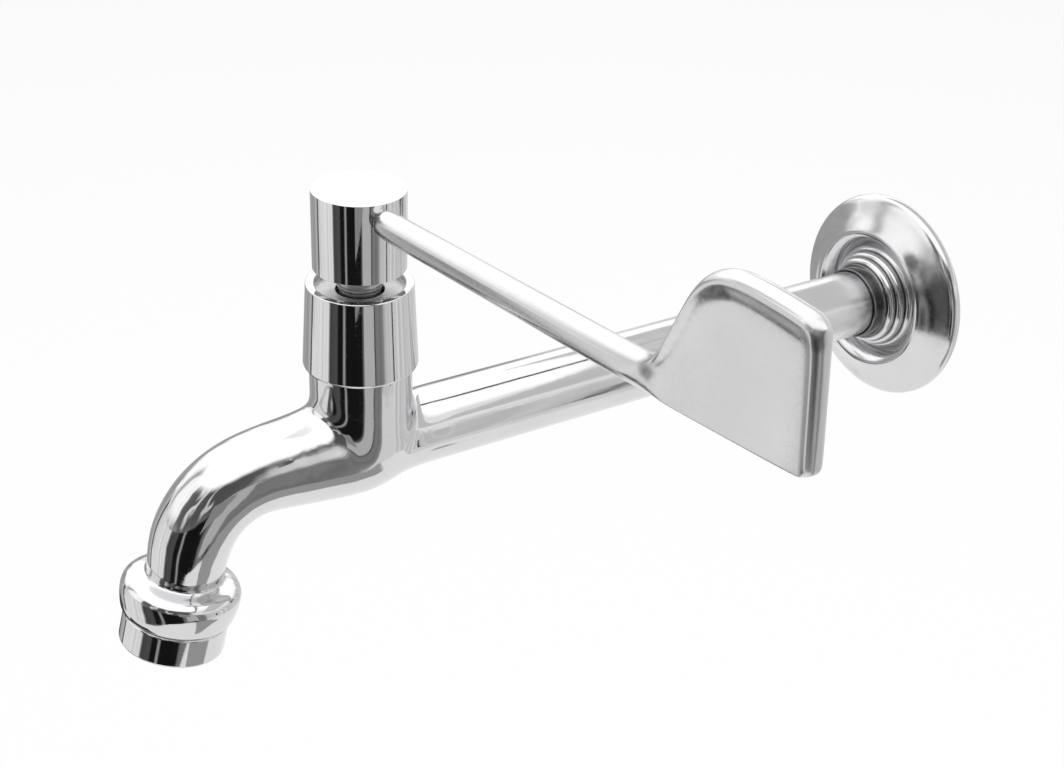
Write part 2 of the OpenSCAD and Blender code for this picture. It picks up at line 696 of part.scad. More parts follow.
// The rounded rim, straight bars and bent bars along the rim's path, in the plane of the paddle
module paddle_rim() {
    for (i = [0 : len(rim_path) - 2]) {
        a = arc_end(i);
        b = arc_start(i + 1);
        translate([a.x, a.y, 0]) rotate([0, 90, atan2(b.y - a.y, b.x - a.x)]) translate([0, 0, -lap])
            cylinder(h = norm(b - a) + 2 * lap, r = rim_r);
    }
    for (i = [1 : len(rim_path) - 1]) {
        if (tangent(i) == 0) {
            translate([rim_path[i].x, rim_path[i].y, 0]) sphere(r = rim_r + swell);
        } else {
            v = arc_start(i) - arc_middle(i);
            first = turn(i) > 0 ? v : arc_end(i) - arc_middle(i);
            translate([arc_middle(i).x, arc_middle(i).y, 0]) rotate(atan2(first.y, first.x))
                rotate_extrude(angle = abs(turn(i))) translate([rim_path[i].z, 0]) circle(r = rim_r + swell);
        }
    }
}

// The rod along +X: stud, rounded end and a round bar that flattens towards the paddle
module lever_rod() {
    start = hub_d / 2 + end_gap;
    end = paddle_root + root_r / 4;
    flat_wide = rod_d;
    difference() {
        rotate([0, 90, 0]) {
            translate([0, 0, stud_start]) cylinder(h = start - stud_start + cut, d = stud_d);
            translate([0, 0, start]) cylinder(h = rod_end_l, d1 = stud_d, d2 = rod_d);
            translate([0, 0, start + rod_end_l]) cylinder(h = end - start - rod_end_l, d = rod_d);
        }
        // Two flats on each side, first down to the rim's width and then to the web's
        for (side = [0, 1]) mirror([0, side, 0]) linear_extrude(2 * flat_wide, center = true)
            polygon([[flat_start, rod_d / 2], [flat_end, rim_r], [end + cut, web_plate_t / 2],
                [end + cut, flat_wide], [flat_start, flat_wide]]);
    }
}

// The web between the rim and the rounded lower edge
module paddle_web() {
    step = lower_edge[0] - lower_edge[1];
    linear_extrude(web_plate_t, center = true)
        polygon([for (i = [0 : len(rim_path) - 1]) each corner_points(i), each lower_edge]);
    translate([lower_edge[1].x, lower_edge[1].y, 0]) rotate([0, 90, atan2(step.y, step.x)])
        cylinder(h = norm(step), r = edge_r);
}

// The forged lever: rod and paddle in one piece
module lever() {
    color("gainsboro") on_lever() {
        lever_rod();
        rotate([90, 0, 0]) {
            paddle_rim();
            paddle_web();
        }
    }
}

// The aerator's chromed casing, which screws up into the outlet collar
module aerator_casing() {
    skirt_chamfer = 0.3;
    r = casing_d / 2;
    color("gainsboro") on_outlet() difference() {
        union() {
            translate([0, 0, casing_foot]) rotate_extrude() polygon([[0, 0], [r - 2 * skirt_chamfer, 0],
                [r - skirt_chamfer, skirt_chamfer], [r, 2 * skirt_chamfer], [r, casing_h - skirt_chamfer],
                [r - skirt_chamfer, casing_h], [0, casing_h]]);
            translate([0, 0, collar_foot - cut]) cylinder(h = casing_thread_l + cut, d = casing_thread_d);
        }
        translate([0, 0, insert_z]) cylinder(h = casing_head - insert_z + cut, d = casing_bore);
        translate([0, 0, casing_foot - cut]) cylinder(h = casing_h, d = casing_bore - 2 * casing_lip);
    }
}

// The washer that seals the casing against the collar's roof
module aerator_washer() {
    color("dimgray") on_outlet(casing_head) ring(casing_thread_d / 2, spout_bore / 2, aerator_washer_t);
}

// The honeycomb's cells, in rows that fill a circle
module honeycomb_cells(r) {
    pitch = cell_w + cell_rib;
    rows = ceil(r / (pitch * cos(30)));
    for (row = [-rows : rows], column = [-rows : rows]) {
        p = pitch * [column + (row % 2) / 2, row * cos(30)];
        if (norm(p) + cell_w / 2 / cos(30) < r)
            translate(p) rotate(30) circle(d = cell_w / cos(30), $fn = 6);
    }
}

// The plastic insert: a sleeve with a ledge for the jet plate and a honeycomb outlet
module aerator_insert() {
    color("lightgray") on_outlet() {
        difference() {
            translate([0, 0, insert_z]) cylinder(h = casing_head - insert_z, r = insert_r);
            translate([0, 0, honeycomb_top])
                cylinder(h = casing_head - honeycomb_top + cut, r = insert_bore_r);
            translate([0, 0, jet_plate_z])
                cylinder(h = casing_head - jet_plate_z + cut, r = jet_plate_r + thread_gap);
            translate([0, 0, insert_z - cut])
                linear_extrude(honeycomb_t + 2 * cut) honeycomb_cells(insert_bore_r);
        }
    }
}

// The wire screen that lies on the honeycomb
module aerator_screen() {
    pitch = 2;
    wire = 0.5;
    frame_w = 0.8;
    r = insert_bore_r - thread_gap;
    count = floor(r / pitch);
    color("silver") on_outlet(honeycomb_top) linear_extrude(screen_t) {
        difference() {
            circle(r = r);
            circle(r = r - frame_w);
        }
        intersection() {
            circle(r = r - frame_w / 2);
            for (i = [-count : count], side = [0, 90])
                rotate(side) translate([i * pitch - wire / 2, -r]) square([wire, 2 * r]);
        }
    }
}

// The jet plate on the insert's ledge, with a ring of fine jets
module aerator_jet_plate() {
    // Radius of the ring of jets against the plate's radius
    jet_ring = 0.68;
    color("lightgray") on_outlet(jet_plate_z) linear_extrude(jet_plate_t) difference() {
        circle(r = jet_plate_r);
        for (i = [0 : jets - 1])
            rotate(360 * i / jets) translate([jet_plate_r * jet_ring, 0]) circle(d = jet_d);
    }
}

// The perforated strainer above the jet plate
module aerator_strainer() {
    hole_d = 1.4;
    rings = 3;
    // Pitch of the rings of holes against the strainer's radius
    ring_pitch = 0.26;
    color("silver") on_outlet(jet_plate_z + jet_plate_t) linear_extrude(strainer_t) difference() {
        circle(r = jet_plate_r);
        circle(d = hole_d);
        for (k = [1 : rings], i = [0 : 6 * k - 1])
            rotate(60 * i / k) translate([k * jet_plate_r * ring_pitch, 0]) circle(d = hole_d);
    }
}

tap_body();
wall_flange();
flange_grip_ring();
bonnet();
headwork_body();
headwork_gasket();
seat_seal();
seat_seal_ring();
fixed_disc();
moving_disc();
spindle();
spindle_o_rings();
slip_washer();
circlip();
hub();
hub_set_screw();
lever();
aerator_casing();
aerator_washer();
aerator_insert();
aerator_screen();
aerator_jet_plate();
aerator_strainer();
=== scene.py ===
import math

import bmesh
import bpy
from mathutils import Matrix, Vector


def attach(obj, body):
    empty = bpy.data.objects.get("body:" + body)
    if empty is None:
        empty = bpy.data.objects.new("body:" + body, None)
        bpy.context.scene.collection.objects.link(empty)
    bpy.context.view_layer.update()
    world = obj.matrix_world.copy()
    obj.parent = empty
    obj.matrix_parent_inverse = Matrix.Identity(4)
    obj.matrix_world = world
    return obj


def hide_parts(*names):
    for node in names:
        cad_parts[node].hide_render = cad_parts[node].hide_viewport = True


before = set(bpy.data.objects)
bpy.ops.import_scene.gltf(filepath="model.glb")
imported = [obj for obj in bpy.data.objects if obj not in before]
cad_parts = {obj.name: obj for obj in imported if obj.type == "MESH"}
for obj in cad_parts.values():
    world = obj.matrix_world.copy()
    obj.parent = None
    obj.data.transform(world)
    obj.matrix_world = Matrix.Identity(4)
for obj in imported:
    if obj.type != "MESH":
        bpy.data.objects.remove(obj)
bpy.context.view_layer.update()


# Camera. It stands to the tap's front right and a little above, as in the photograph,
# close enough that the paddle looks large beside the wall flange, and tipped a few degrees.
MM = 0.001
camera_turn, camera_rise, camera_roll = math.radians(55.77), math.radians(29.47), math.radians(2.90)
camera_target = Vector((0, -144.8, 3.1)) * MM
camera_distance = 460.7 * MM


def put_in_scene(name, data):
    """Makes an object of some data and puts it in the scene."""
    made = bpy.data.objects.new(name, data)
    bpy.context.scene.collection.objects.link(made)
    return made


camera_data = bpy.data.cameras.new("camera")
camera_data.lens = 52.41
camera_data.clip_start = 20 * MM
camera = put_in_scene("camera", camera_data)
bpy.context.scene.camera = camera
camera.matrix_world = (
    Matrix.Translation(camera_target)
    @ Matrix.Rotation(camera_turn, 4, "Z")
    @ Matrix.Rotation(math.pi / 2 - camera_rise, 4, "X")
    @ Matrix.Translation((0, 0, camera_distance))
    @ Matrix.Rotation(camera_roll, 4, "Z")
)
bpy.context.scene.view_settings.view_transform = "Standard"


# Studio. White paper all round, white to the eye and in reflections, and a softer light on matt things.
# The pale floor lies well below the tap and keeps a faint shadow, and a soft box hangs overhead.
white, paper_light = 1.0, 0.4
floor_z, floor_size, floor_grey, floor_glow = -420 * MM, 6, 0.9, 0.9


def calculated(tree, operation, *values):
    """The result of a Math node on numbers and sockets."""
    node = tree.nodes.new("ShaderNodeMath")
    node.operation = operation
    for place, value in enumerate(values):
        if isinstance(value, (int, float)):
            node.inputs[place].default_value = value
        else:
            tree.links.new(value, node.inputs[place])
    return node.outputs[0]


def ranged(tree, value, low, high, first, last):
    """Takes a value from low..high to first..last, smoothly and no further."""
    node = tree.nodes.new("ShaderNodeMapRange")
    node.interpolation_type = "SMOOTHSTEP"
    node.inputs["From Min"].default_value = low
    node.inputs["From Max"].default_value = high
    node.inputs["To Min"].default_value = first
    node.inputs["To Max"].default_value = last
    tree.links.new(value, node.inputs["Value"])
    return node.outputs["Result"]


def seen_directly(tree):
    """1 for what the camera, a mirror or clear glass sees, 0 for the light on matt surfaces."""
    path = tree.nodes.new("ShaderNodeLightPath").outputs
    either = calculated(tree, "MAXIMUM", path["Is Camera Ray"], path["Is Glossy Ray"])
    return calculated(tree, "MAXIMUM", either, path["Is Transmission Ray"])


def meshed(name, bm):
    """Makes a mesh of a finished bmesh."""
    mesh = bpy.data.meshes.new(name)
    bm.to_mesh(mesh)
    bm.free()
    return mesh


studio = bpy.data.worlds.new("studio")
bpy.context.scene.world = studio
studio.use_nodes = True
tree = studio.node_tree
paper = tree.nodes["Background"]
paper.inputs["Color"].default_value = (white, white, white, 1)
tree.links.new(ranged(tree, seen_directly(tree), 0, 1, paper_light, white), paper.inputs["Strength"])

bm = bmesh.new()
bmesh.ops.create_grid(
    bm, x_segments=1, y_segments=1, size=floor_size, matrix=Matrix.Translation((0, 0, floor_z)))
floor = put_in_scene("floor", meshed("floor", bm))
floor_finish = bpy.data.materials.new("pale_paper")
floor_finish.use_nodes = True
tree = floor_finish.node_tree
tree.nodes.clear()
matt = tree.nodes.new("ShaderNodeBsdfDiffuse")
matt.inputs["Color"].default_value = (floor_grey, floor_grey, floor_grey, 1)
glow = tree.nodes.new("ShaderNodeEmission")
glow.inputs["Strength"].default_value = white
blend = tree.nodes.new("ShaderNodeMixShader")
tree.links.new(calculated(tree, "MULTIPLY", seen_directly(tree), floor_glow), blend.inputs["Fac"])
tree.links.new(matt.outputs[0], blend.inputs[1])
tree.links.new(glow.outputs[0], blend.inputs[2])
output = tree.nodes.new("ShaderNodeOutputMaterial")
tree.links.new(blend.outputs[0], output.inputs["Surface"])
floor.data.materials.append(floor_finish)

soft_box_data = bpy.data.lights.new("soft_box", "AREA")
soft_box_data.shape = "RECTANGLE"
soft_box_data.size = 2.6
soft_box_data.size_y = 2.6
soft_box_data.energy = 32.0
soft_box = put_in_scene("soft_box", soft_box_data)
soft_box.location = (0.1, -0.1, 1.1)
soft_box.visible_glossy = False


# Reflections. Polished metal only looks like metal when it has something to mirror, so the tap stands in a
# room that only mirrors see: a pale ceiling, a dark side with bright slits where the camera stands, a ring of
# grey and black boards below the horizon, and paper cards for the paddle, the arm, the spout and the flange.
arm_reach = 201.5
barrel_y = -arm_reach * MM


def card(name, bm, finish):
    """A surface that only polished metal sees."""
    mesh = meshed(name, bm)
    mesh.materials.append(finish)
    made = put_in_scene(name, mesh)
    made.visible_camera = False
    made.visible_diffuse = False
    made.visible_transmission = False
    made.visible_shadow = False


def glowing(name):
    """An unlit finish: its tree and its emission node."""
    finish = bpy.data.materials.new(name)
    finish.use_nodes = True
    tree = finish.node_tree
    tree.nodes.clear()
    glow = tree.nodes.new("ShaderNodeEmission")
    output = tree.nodes.new("ShaderNodeOutputMaterial")
    tree.links.new(glow.outputs[0], output.inputs["Surface"])
    return finish, tree, glow


def in_piece(tree):
    """A point's place in its own object."""
    return tree.nodes.new("ShaderNodeTexCoord").outputs["Object"]


def axes_of(tree, vector):
    """A vector's X, Y and Z."""
    parts = tree.nodes.new("ShaderNodeSeparateXYZ")
    tree.links.new(vector, parts.inputs[0])
    return parts.outputs


def direction(tree):
    """The direction from the barrel to a point of the room, and its bearing to the right of the camera's side."""
    centre = tree.nodes.new("ShaderNodeMapping")
    centre.inputs["Location"].default_value = (0, -barrel_y, 0)
    tree.links.new(in_piece(tree), centre.inputs["Vector"])
    unit = tree.nodes.new("ShaderNodeVectorMath")
    unit.operation = "NORMALIZE"
    tree.links.new(centre.outputs[0], unit.inputs[0])
    facing = tree.nodes.new("ShaderNodeVectorRotate")
    facing.rotation_type = "Z_AXIS"
    facing.inputs["Angle"].default_value = math.pi / 2 - camera_turn
    tree.links.new(unit.outputs[0], facing.inputs["Vector"])
    parts = axes_of(tree, facing.outputs[0])
    return unit.outputs[0], calculated(tree, "ARCTAN2", parts["Y"], parts["X"])


def greys_round(tree, bearing, stops, fold_dark, fold_light):
    """A grey for each bearing from stops of (degrees, grey), with upright joints and folds."""
    around = tree.nodes.new("ShaderNodeMapRange")
    around.inputs["From Min"].default_value = -math.pi
    around.inputs["From Max"].default_value = math.pi
    tree.links.new(bearing, around.inputs["Value"])
    greys = tree.nodes.new("ShaderNodeValToRGB")
    ramp = greys.color_ramp
    while len(ramp.elements) < len(stops):
        ramp.elements.new(0.5)
    for stop, (degrees, grey) in zip(ramp.elements, stops):
        stop.position = (degrees + 180) / 360
        stop.color = (grey, grey, grey, 1)
    tree.links.new(around.outputs["Result"], greys.inputs["Fac"])
    folds = tree.nodes.new("ShaderNodeTexNoise")
    folds.noise_dimensions = "1D"
    folds.inputs["Scale"].default_value = 9
    folds.inputs["Detail"].default_value = 5
    folds.inputs["Roughness"].default_value = 0.7
    tree.links.new(bearing, folds.inputs["W"])
    fold = ranged(tree, folds.outputs["Fac"], 0.35, 0.65, fold_dark, fold_light)
    return calculated(tree, "MULTIPLY", greys.outputs["Color"], fold)


board_radius, board_foot, board_head = 600 * MM, floor_z, 60 * MM
# Bearing in degrees to the right of the camera's side, with the board's brightness there
board_greys = [
    (-180, 0.45), (-118, 0.45), (-112, 0.75), (-108, 0.1), (-105, 0.1), (-102, 0.95), (-60, 1.0), (-55, 0.08),
    (-40, 0.1), (-37, 0.01), (-28, 0.01), (-26.5, 0.4), (-24, 0.4), (-22, 0.01), (10, 0.01), (14, 0.22),
    (26, 0.24), (29, 0.08), (35, 0.08), (38, 0.26), (50, 0.22), (57, 0.66), (78, 0.85), (100, 0.8), (180, 0.8)]
bm = bmesh.new()
bmesh.ops.create_cone(
    bm, cap_ends=False, segments=96, radius1=board_radius, radius2=board_radius,
    depth=board_head - board_foot,
    matrix=Matrix.Translation((0, barrel_y, (board_head + board_foot) / 2)))
finish, tree, glow = glowing("boards")
tree.links.new(greys_round(tree, direction(tree)[1], board_greys, 0.8, 1.1), glow.inputs["Strength"])
card("boards", bm, finish)

# Bearing, with the brightness of the room's walls as a share of its brightest: near the horizon and higher up
room_radius, room_foot, room_brightest = 3, -0.4, 1.5
low_greys = [
    (-180, 0.95), (-120, 0.8), (-88, 0.7), (-70, 0.4), (-48, 0.3), (-40, 0.12), (34, 0.1), (46, 0.3),
    (54, 0.66), (120, 0.7), (180, 0.95)]
high_greys = [
    (-180, 1.0), (-130, 1.0), (-112, 0.8), (-105, 0.4), (-97, 0.35), (-91, 0.85), (-63, 0.85), (-57, 0.12),
    (-39, 0.08), (-36, 0.6), (-32, 0.6), (-29, 0.08), (-9, 0.06), (-6, 0.5), (-3, 0.5), (0, 0.06), (34, 0.08),
    (44, 0.2), (54, 0.66), (120, 0.7), (150, 0.95), (180, 1.0)]
# How steeply a direction rises where the low walls pass into the high ones, and these into the ceiling
low_to_high, high_to_ceiling = (0.12, 0.3), (0.62, 0.76)
bm = bmesh.new()
bmesh.ops.create_uvsphere(
    bm, u_segments=64, v_segments=32, radius=room_radius, matrix=Matrix.Translation((0, barrel_y, 0)))
bmesh.ops.delete(bm, geom=[vert for vert in bm.verts if vert.co.z < room_foot], context="VERTS")
finish, tree, glow = glowing("room")
unit, bearing = direction(tree)
drift = tree.nodes.new("ShaderNodeTexNoise")
drift.inputs["Scale"].default_value = 2.5
tree.links.new(unit, drift.inputs["Vector"])
drift_most = 0.12
bearing = calculated(tree, "ADD", bearing, ranged(
    tree, drift.outputs["Fac"], 0.3, 0.7, -drift_most, drift_most))
parts = axes_of(tree, unit)
low_walls = calculated(tree, "MULTIPLY", greys_round(tree, bearing, low_greys, 0.5, 1.15),
                       ranged(tree, parts["Z"], *low_to_high, 1, 0))
high_walls = calculated(tree, "MULTIPLY", greys_round(tree, bearing, high_greys, 0.97, 1.1),
                        ranged(tree, parts["Z"], *low_to_high, 0, 1))
walls = calculated(tree, "MULTIPLY", calculated(tree, "ADD", low_walls, high_walls),
                   ranged(tree, parts["Z"], *high_to_ceiling, 1, 0))
# A dark batten runs across the ceiling above the arm
batten_grey, batten_edge, batten_end = 0.02, (0.03, 0.05), (0.3, 0.42)
beside_batten = ranged(tree, calculated(tree, "ABSOLUTE", parts["X"]), *batten_edge, batten_grey, 1)
before_batten = ranged(tree, parts["Y"], *batten_end, 1, 0)
ceiling = calculated(tree, "MULTIPLY", calculated(tree, "MAXIMUM", beside_batten, before_batten),
                     ranged(tree, parts["Z"], *high_to_ceiling, 0, 1))
room = calculated(tree, "ADD", walls, ceiling)
tree.links.new(calculated(tree, "MULTIPLY", room, room_brightest), glow.inputs["Strength"])
card("room", bm, finish)

# Place, tilt, turn about the upright, width, height and brightness of the paper cards
for name, place, tilt, turn, width, height, brightness in [
        ("front_card", (-325, -640, -300), 90, -36, 230, 190, 0.95),
        ("end_card", (323, -260, -60), 90, 80, 115, 260, 0.55),
        ("wall_card", (160, 287, 300), 0, 0, 980, 425, 0.7),
        ("table_card", (-460, -280, -415), 0, 0, 320, 430, 0.06),
        ("near_card", (-190, -535, -415), 0, 0, 300, 200, 0.06),
        ("foot_card", (430, -85, -415), 0, 0, 360, 290, 0.4),
        ("rim_card", (220, -292, 10), 90, 28, 131, 75, 0.3),
        ("upright", (450, 180, -190), 90, 130, 30, 180, 0.06),
        ("arm_card", (454, 126, -360), 90, 126, 300, 120, 0.85)]:
    bm = bmesh.new()
    turned_to = Matrix.Rotation(math.radians(turn), 4, "Z") @ Matrix.Rotation(math.radians(tilt), 4, "X")
    cut_to = Matrix.Diagonal((width * MM, height * MM, 1, 1))
    bmesh.ops.create_grid(bm, x_segments=1, y_segments=1, size=0.5,
                          matrix=Matrix.Translation(Vector(place) * MM) @ turned_to @ cut_to)
    finish, tree, glow = glowing(name)
    glow.inputs["Strength"].default_value = brightness
    card(name, bm, finish)


# Tap body. One brass casting in chrome plate: the long arm, the swollen barrel, the S-shaped spout and the
# collar at its end. It is cast in sand and polished by hand, so its joints are soft and its sides not quite true.
spout_run, bend_radius, outlet_tilt, spout_end = 30.0, 22.7, math.radians(14), 15.6
barrel_radius, shoulder_height = 14.05, 22
cage_sides = 24


def noise(tree, scale, detail, stretch=(1, 1, 1)):
    """Noise in a piece's own space, drawn out along an axis where stretch is small."""
    mapping = tree.nodes.new("ShaderNodeMapping")
    mapping.inputs["Scale"].default_value = stretch
    tree.links.new(in_piece(tree), mapping.inputs["Vector"])
    texture = tree.nodes.new("ShaderNodeTexNoise")
    texture.inputs["Scale"].default_value = scale
    texture.inputs["Detail"].default_value = detail
    tree.links.new(mapping.outputs[0], texture.inputs["Vector"])
    return texture.outputs["Fac"]


def tinted(tree, value, dark, light):
    """Colours a noise from dark to light."""
    tint = tree.nodes.new("ShaderNodeValToRGB")
    first, last = tint.color_ramp.elements
    first.position, last.position = 0.3, 0.7
    first.color, last.color = (*dark, 1), (*light, 1)
    tree.links.new(value, tint.inputs["Fac"])
    return tint.outputs["Color"]


def bumped(tree, shader, height, depth):
    """Gives a shader's surface relief of a depth in millimetres."""
    bump = tree.nodes.new("ShaderNodeBump")
    bump.inputs["Distance"].default_value = depth * MM
    tree.links.new(height, bump.inputs["Height"])
    tree.links.new(bump.outputs["Normal"], shader.inputs["Normal"])


def chrome_plate(name, wave_depth, smooth, rough, wave_detail=1):
    """Chrome plate: a neutral mirror with cloudy haze, faint polishing marks and the wave of hand polishing."""
    finish = bpy.data.materials.new(name)
    finish.use_nodes = True
    tree = finish.node_tree
    shader = tree.nodes["Principled BSDF"]
    shader.inputs["Metallic"].default_value = 1.0
    cloud = tinted(tree, noise(tree, 45, 4), (0.66, 0.66, 0.67), (0.71, 0.71, 0.715))
    tree.links.new(cloud, shader.inputs["Base Color"])
    marks = noise(tree, 900, 3, (1, 0.12, 1))
    tree.links.new(ranged(tree, marks, 0.35, 0.75, smooth, rough), shader.inputs["Roughness"])
    bumped(tree, shader, noise(tree, 70, wave_detail), wave_depth)
    return finish


def dulled(finish, haze):
    """Adds a haze to a finish's roughness."""
    tree = finish.node_tree
    roughness = tree.nodes["Principled BSDF"].inputs["Roughness"]
    tree.links.new(calculated(tree, "ADD", roughness.links[0].from_socket, haze), roughness)


def along(finish, axis, low, high, first, last):
    """A value that goes from first to last along one axis of a piece, between two places in millimetres."""
    tree = finish.node_tree
    return ranged(tree, axes_of(tree, in_piece(tree))[axis], low * MM, high * MM, first, last)


def piece(name, bm, finish, body, slot, *nodes):
    """Makes the mesh a piece that rides on a body, wears a finish and stands for CAD nodes."""
    mesh = meshed(name, bm)
    mesh.shade_smooth()
    mesh.materials.append(finish)
    made = put_in_scene(name, mesh)
    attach(made, body)
    if nodes:
        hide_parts(*nodes)
    return made


def smoothed(made, levels):
    """Rounds a piece's cage with a subdivision surface."""
    surface = made.modifiers.new("smooth", "SUBSURF")
    surface.levels = levels
    surface.render_levels = levels


def cage_shrink(sides):
    """The share of its cage's radius that a ring of so many sides keeps when it is smoothed."""
    return 2 / 3 + math.cos(2 * math.pi / sides) / 3


def cage_ring(bm, place, radius, sides=cage_sides):
    """A ring of edges that smooths to a circle of a radius in millimetres."""
    made = bmesh.ops.create_circle(bm, cap_ends=False, segments=sides,
                                   radius=radius * MM / cage_shrink(sides), matrix=place)
    return list({edge for vert in made["verts"] for edge in vert.link_edges})


def join_rings(bm, rings):
    """Closes the gaps between rings that follow each other."""
    for ring, following in zip(rings, rings[1:]):
        bmesh.ops.bridge_loops(bm, edges=ring + following)


def on_arm(forward):
    """Place across the arm or the spout's straight run, at a distance in front of the barrel's axis."""
    middle = Vector((0, -arm_reach - forward, 0))
    return Matrix.Translation(middle * MM) @ Matrix.Rotation(math.pi / 2, 4, "X")


def on_bend(angle):
    """Place across the spout's bend, after turning down through an angle."""
    forward, drop = bend_radius * math.sin(angle), bend_radius * (math.cos(angle) - 1)
    middle = Vector((0, -arm_reach - spout_run - forward, drop))
    return Matrix.Translation(middle * MM) @ Matrix.Rotation(math.pi / 2 + angle, 4, "X")


def on_outlet(down):
    """Place across the outlet, at a distance below the middle of its collar."""
    return on_bend(math.pi / 2 - outlet_tilt) @ Matrix.Translation((0, 0, (spout_end + down) * MM))


chrome_cast = chrome_plate("chrome_cast", wave_depth=0.3, smooth=0.05, rough=0.11, wave_detail=2)
# The arm is buffed less and less towards the wall
dulled(chrome_cast, along(chrome_cast, "Y", -180, -60, 0.0, 0.13))
# The arm is polished on a wheel and the spout by hand, so the spout's waves are deeper
tree = chrome_cast.node_tree
wave = tree.nodes["Principled BSDF"].inputs["Normal"].links[0].from_node.inputs["Height"]
spout_waves = along(chrome_cast, "Y", -220, -185, 1.0, 0.27)
tree.links.new(calculated(tree, "MULTIPLY", wave.links[0].from_socket, spout_waves), wave)

bm = bmesh.new()
# Stations from the inlet's bore, over its end and along the arm: distance behind the wall's face, radius
inlet_stations = [(-13, 7.5), (14.9, 7.5), (15.0, 7.7), (15.0, 9.2), (14.9, 9.45), (14, 9.5), (0.4, 9.5),
                  (0.1, 9.6), (0, 10.8), (-0.2, 11), (-6, 11), (-40, 11), (-90, 11), (-140, 11), (-165, 11)]
rings = [cage_ring(bm, on_arm(-arm_reach - behind), radius) for behind, radius in inlet_stations]
# Stations of the tube under the barrel and along the spout: distance in front of the barrel's axis, radius
before_barrel, after_barrel = [(-27, 11.0), (-20, 11.0)], [(25, 12.2)]
under_barrel = [(-16, 11.0), (-10.5, 11.2), (-5, 12.7), (0, 13.8), (5, 13.9), (10.5, 13.6), (16.5, 13.0)]
rings += [cage_ring(bm, on_arm(forward), radius) for forward, radius in before_barrel]
under_rings = [cage_ring(bm, on_arm(forward), radius) for forward, radius in under_barrel]
rings += under_rings + [cage_ring(bm, on_arm(forward), radius) for forward, radius in after_barrel]
# Stations round the bend: degrees down, radius
bend_stations = [(2, 11.7), (16, 11.5), (32, 11.4), (48, 11.35), (64, 11.25), (76, 11.1)]
rings += [cage_ring(bm, on_bend(math.radians(angle)), radius) for angle, radius in bend_stations]
# Stations down the outlet: distance below the middle of the collar, radius
outlet_stations = [(-9.5, 10.5), (-6.9, 10.2), (-6.1, 10.6), (-5.7, 12.2), (-5.3, 14.2), (-3.9, 16.0),
                   (-1.6, 16.5), (1.5, 16.1), (4.2, 15.6), (5.7, 14.6), (5.8, 12.6), (5.6, 12.1), (-2, 12.1)]
rings += [cage_ring(bm, on_outlet(down), radius) for down, radius in outlet_stations]
join_rings(bm, rings)
for end in (rings[0], rings[-1]):
    bmesh.ops.contextual_create(bm, geom=end)

# The barrel stands on the tube. The tube's top is opened along a loop round the barrel's foot, which has a point
# for each column of the cage; it spans three columns on each side of the top
column_angle, half_turn, loop_columns = 360 / cage_sides, cage_sides // 2, 3
last_station = len(under_barrel) - 1
widen = 1 / cage_shrink(cage_sides)
barrel_axis = Vector((0, -arm_reach, 0)) * MM


def tube_radius(forward):
    """The tube's radius under the barrel, at a distance in front of the barrel's axis."""
    for (near, near_radius), (far, far_radius) in zip(under_barrel, under_barrel[1:]):
        if near <= forward <= far:
            return near_radius + (far_radius - near_radius) * (forward - near) / (far - near)


def round_barrel(step, reach, rise, lowest):
    """A point of the barrel's foot, so many columns from its front: reach from the barrel's axis, rise above
    the tube and never below the lowest height."""
    turn = math.radians(column_angle * step)
    side, forward = reach * math.sin(turn), reach * math.cos(turn)
    top = math.sqrt(max(tube_radius(forward)**2 - side**2, 0)) + rise
    return Vector((side, -arm_reach - forward, max(top, lowest))) * MM


# From the foot's front to its back
foot_reach = [15.9, 15.9, 15.8, 15.6, 15.0, 14.4, 14.1, 14.2, 14.3, 14.8, 15.5, 15.8, 15.8]
foot_lowest, wall_rise, wall_lowest = 3.5, 2.0, 7.5
foot = [round_barrel(step, foot_reach[min(step, cage_sides - step)], 0, foot_lowest)
        for step in range(cage_sides)]
foot_verts = [None] * cage_sides
patch = []
pull_columns = 7
for station, ring in enumerate(under_rings):
    corner = half_turn - loop_columns - station
    corner_angle = math.degrees(math.atan2(foot[corner].x, foot[corner].z))
    corner_forward = -arm_reach - foot[corner].y / MM
    for vert in {vert for edge in ring for vert in edge.verts}:
        column = round(math.degrees(math.atan2(vert.co.x, vert.co.z)) / column_angle)
        side = -1 if column < 0 else 1
        below_loop = abs(column) - loop_columns
        if below_loop < 0 and 0 < station < last_station:
            patch.append(vert)
        elif below_loop <= 0:
            at_ends = {0: half_turn - column, last_station: column}
            step = at_ends.get(station, side * corner) % cage_sides
            foot_verts[step] = vert
            vert.co = barrel_axis + (foot[step] - barrel_axis) * widen
        else:
            # Below the loop the tube's columns spread evenly and draw towards the barrel
            angle = math.radians(corner_angle + (180 - corner_angle) * below_loop / (half_turn - loop_columns))
            pull = 0.5 + 0.5 * math.cos(math.pi * min(below_loop / pull_columns, 1))
            forward = under_barrel[station][0] + pull * (corner_forward - under_barrel[station][0])
            across, up = tube_radius(forward) * math.sin(angle), tube_radius(forward) * math.cos(angle)
            if up > 0 and abs(forward) < barrel_radius:
                across = max(across, math.sqrt(barrel_radius**2 - forward**2))
            vert.co = Vector((side * across * widen, -arm_reach - forward, up * widen)) * MM
bmesh.ops.delete(bm, geom=patch, context="VERTS")
loops = [foot_verts]
for share in (0, 0.5):
    loop = []
    for step in range(cage_sides):
        out = round_barrel(step, barrel_radius, wall_rise, wall_lowest) - barrel_axis
        out.z += share * (shoulder_height * MM - out.z)
        loop.append(bm.verts.new(barrel_axis + Vector((out.x * widen, out.y * widen, out.z))))
    loops.append(loop)
for lower, upper in zip(loops, loops[1:]):
    for step in range(cage_sides):
        after = (step + 1) % cage_sides
        bm.faces.new((lower[step], lower[after], upper[after], upper[step]))
